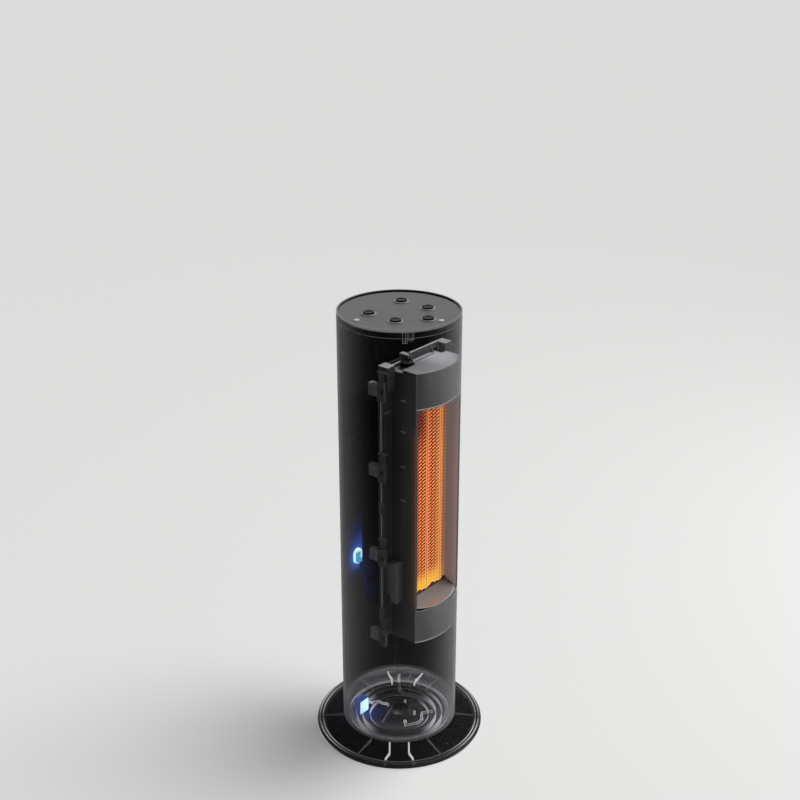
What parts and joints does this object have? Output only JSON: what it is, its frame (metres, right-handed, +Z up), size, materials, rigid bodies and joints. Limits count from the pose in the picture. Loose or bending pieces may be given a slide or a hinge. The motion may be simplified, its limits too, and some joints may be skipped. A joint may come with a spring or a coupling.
{
  "type": "tower heater",
  "caption": "Round see-through tower heater: glowing heater core behind a front window, cross-flow blower, swing base with tip-over switch, round push buttons on top.",
  "frame": {"origin": "middle of the footprint, on the floor", "axes": "+Z up, the warm air leaves at -Y, the cool air comes in at +Y, +X is to the right as seen from the front"},
  "size_m": [0.221, 0.221, 0.585],
  "materials": {
    "smoked_casing": "smoked see-through plastic, glossy",
    "smoked_base": "smoked see-through plastic, glossy",
    "smoked_turntable": "smoked see-through plastic",
    "smoked_cap": "smoked see-through plastic, satin",
    "black_plastic": "fine matt texture",
    "dark_plastic": "moulded, satin",
    "grey_plastic": "moulded, satin",
    "light_plastic": "moulded, satin",
    "button_black": "glossy",
    "gear_plastic": "natural acetal",
    "rubber": "soft, matt",
    "steel": "zinc plated",
    "shaft_steel": "ground",
    "motor_steel": "pressed steel",
    "circuit_board": "dark green-black solder mask",
    "components": "black moulded cases",
    "core_cap": "heat-proof moulding",
    "heating_bar": "hot aluminium",
    "hot_fin": "glowing hot aluminium strip",
    "brass": "plated tab",
    "blue_light": "lit from inside, blue",
    "cable_black": "PVC sheath",
    "cable_red": "silicone sleeve"
  },
  "bodies": {
    "base": {"base_shell": "smoked_base", "base_plate": "smoked_base", "rubber_feet": "rubber", "base_screws": "steel", "hub_bush": "gear_plastic", "hub_gear": "gear_plastic", "slide_ring": "gear_plastic", "cord_gland": "rubber", "mains_lead": "cable_black", "tip_switch_case": "blue_light", "tip_switch_lead": "cable_black"},
    "tower": {"turntable": "smoked_turntable", "hub_retainer": "steel", "retainer_screws": "steel", "swing_motor": "motor_steel", "swing_motor_screws": "steel", "casing": "smoked_casing", "intake_guard": "dark_plastic", "top_cap": "smoked_cap", "button_collars": "grey_plastic", "control_board": "circuit_board", "press_switches": "components", "cap_screws": "steel", "heater_frame": "dark_plastic", "clips_left": "dark_plastic", "clips_right": "dark_plastic", "air_hood": "grey_plastic", "upper_baffle": "grey_plastic", "lower_baffle": "light_plastic", "core_cap_top": "core_cap", "core_cap_bottom": "core_cap", "heating_bars": "heating_bar", "heater_fins": "hot_fin", "heater_terminals": "brass", "riser_bracket": "dark_plastic", "thermal_cutout": "black_plastic", "side_cover": "grey_plastic", "blower_housing": "black_plastic", "top_bush": "gear_plastic", "fan_motor": "motor_steel", "motor_cradle": "dark_plastic", "power_board": "circuit_board", "power_components": "components", "main_harness": "cable_black", "control_lead": "cable_black", "motor_lead": "cable_black", "heater_leads": "cable_red", "sensor_lead": "cable_black", "sensor_ring": "blue_light", "sensor_board": "circuit_board", "module_screws": "steel"},
    "tip_plunger": {"tip_plunger": "gear_plastic"},
    "swing_pinion": {"swing_pinion": "gear_plastic"},
    "blower": {"blower_wheel": "black_plastic", "blower_shaft": "shaft_steel"},
    "button_middle": {"button_middle": "button_black"},
    "button_front_left": {"button_front_left": "button_black"},
    "button_front_right": {"button_front_right": "button_black"},
    "button_rear_left": {"button_rear_left": "button_black"},
    "button_rear_right": {"button_rear_right": "button_black"}
  },
  "joints": [
    {"name": "tower_swing", "type": "hinge", "parent": "base", "child": "tower", "pos_m": [0, 0, 0.015], "axis": [0, 0, 1], "range_deg": [-35, 35]},
    {"name": "pinion_spin", "type": "hinge", "parent": "tower", "child": "swing_pinion", "pos_m": [0.02044, -0.0184, 0.02], "axis": [0, 0, 1], "range_deg": [-94, 94]},
    {"name": "blower_spin", "type": "hinge", "parent": "tower", "child": "blower", "pos_m": [0, 0.024, 0.35], "axis": [0, 0, 1], "continuous": true},
    {"name": "tip_plunger_slide", "type": "slide", "parent": "base", "child": "tip_plunger", "axis": [0, 0, -1], "range_m": [0, 0.0025], "stiffness_N_per_m": 120, "springref_m": 0.0035},
    {"name": "button_middle_press", "type": "slide", "parent": "tower", "child": "button_middle", "axis": [0, 0, -1], "range_m": [0, 0.0012], "stiffness_N_per_m": 300},
    {"name": "button_front_left_press", "type": "slide", "parent": "tower", "child": "button_front_left", "axis": [0, 0, -1], "range_m": [0, 0.0012], "stiffness_N_per_m": 300},
    {"name": "button_front_right_press", "type": "slide", "parent": "tower", "child": "button_front_right", "axis": [0, 0, -1], "range_m": [0, 0.0012], "stiffness_N_per_m": 300},
    {"name": "button_rear_left_press", "type": "slide", "parent": "tower", "child": "button_rear_left", "axis": [0, 0, -1], "range_m": [0, 0.0012], "stiffness_N_per_m": 300},
    {"name": "button_rear_right_press", "type": "slide", "parent": "tower", "child": "button_rear_right", "axis": [0, 0, -1], "range_m": [0, 0.0012], "stiffness_N_per_m": 300}
  ],
  "couplings": [
    {"joint": "pinion_spin", "follows": "tower_swing", "ratio": 2.6667}
  ]
}
